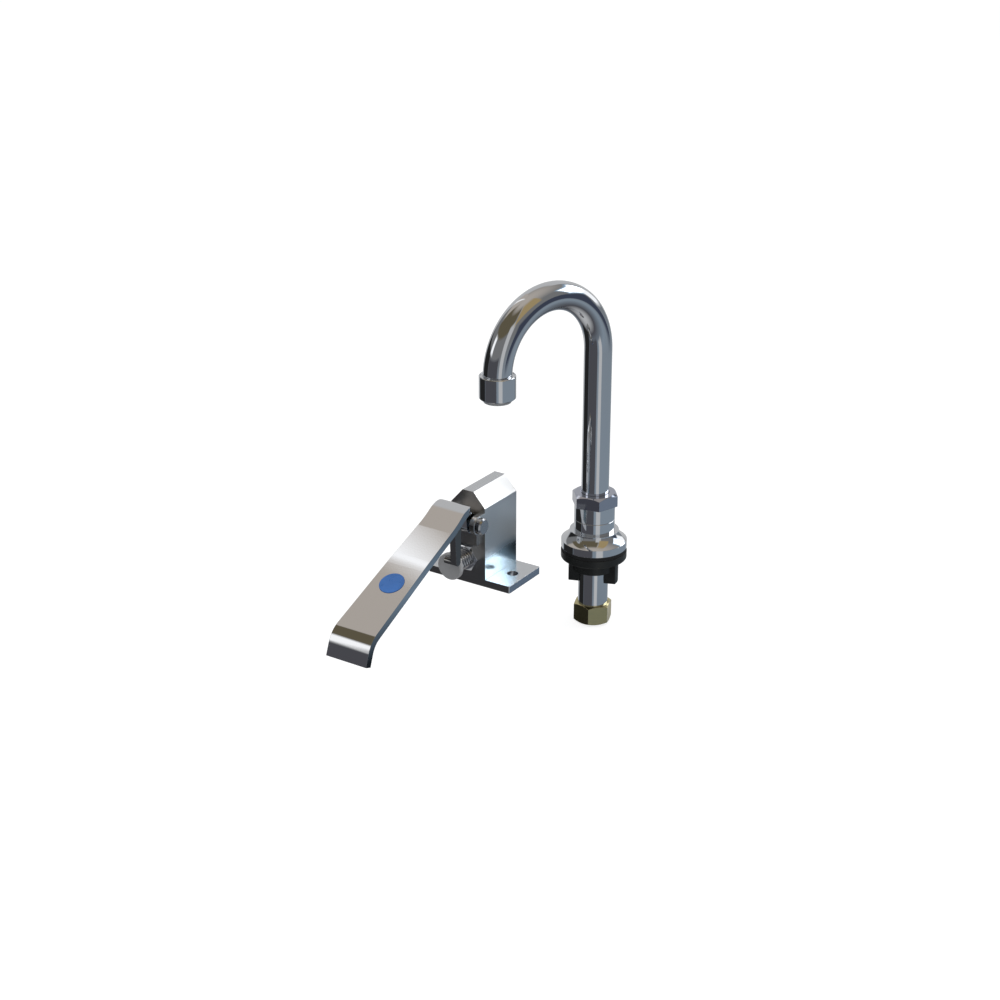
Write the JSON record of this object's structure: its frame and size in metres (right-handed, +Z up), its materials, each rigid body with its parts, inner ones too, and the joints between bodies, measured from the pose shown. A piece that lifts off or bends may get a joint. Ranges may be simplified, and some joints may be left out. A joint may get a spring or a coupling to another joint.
{
  "type": "knee valve faucet",
  "caption": "Deck-mounted gooseneck spout with aerator and threaded shank, and a self-closing knee valve with a base plate, strap pedal and blue index disc.",
  "frame": {"origin": "centre of the deck hole, on the underside of the spout's gasket; the knee valve's plate rests on the same level", "axes": "+Z up along the shank and the spout's column, -Y to the front, where the pedal points, +X to the right of a user who faces the front"},
  "size_m": [0.0974, 0.2494, 0.2536],
  "materials": {
    "polished_chrome": "polished chrome plate",
    "satin_chrome": "satin chrome plate with fine lengthwise brushing",
    "bare_brass": "machined",
    "black_rubber": "moulded, matt",
    "black_plastic": "moulded, satin",
    "grey_plastic": "moulded",
    "blue_plastic": "smooth",
    "stainless_steel": "drawn wire, bright",
    "fibre": "pressed fibre"
  },
  "bodies": {
    "deck_and_valve_body": {"spout_nut": "polished_chrome", "spout_washer": "fibre", "spout_adapter": "polished_chrome", "spout_o_ring": "black_rubber", "shank": "polished_chrome", "deck_flange": "polished_chrome", "deck_gasket": "black_rubber", "locknut": "black_plastic", "supply_nut": "bare_brass", "supply_washer": "black_rubber", "valve_body": "polished_chrome", "seat_insert": "bare_brass", "bonnet_gasket": "fibre", "valve_bonnet": "polished_chrome", "stem_o_ring": "black_rubber", "return_spring": "stainless_steel", "hinge_pin": "polished_chrome", "pin_clip": "stainless_steel"},
    "swivel_spout": {"gooseneck_spout": "polished_chrome", "outlet_adapter": "polished_chrome", "aerator_housing": "polished_chrome", "aerator_washer": "black_rubber", "aerator_insert": "grey_plastic"},
    "pedal": {"knee_pedal": "satin_chrome", "index_disc": "blue_plastic"},
    "stem": {"valve_stem": "stainless_steel", "stem_button": "polished_chrome", "seat_washer": "black_rubber", "washer_screw": "stainless_steel"}
  },
  "joints": [
    {"name": "spout_swivel", "type": "hinge", "parent": "deck_and_valve_body", "child": "swivel_spout", "pos_m": [0, 0, 0.0376], "axis": [0, 0, 1], "continuous": true},
    {"name": "pedal_hinge", "type": "hinge", "parent": "deck_and_valve_body", "child": "pedal", "pos_m": [-0.0421, -0.1, 0.047], "axis": [1, 0, 0], "range_deg": [0, 12.5], "stiffness_Nm_per_rad": 1.2, "springref_deg": -12.61},
    {"name": "stem_slide", "type": "slide", "parent": "deck_and_valve_body", "child": "stem", "axis": [0, 1, 0], "range_m": [0, 0.0052], "deforming": ["return_spring"]}
  ],
  "couplings": [
    {"joint": "stem_slide", "follows": "pedal_hinge", "m_per_rad": 0.023}
  ]
}
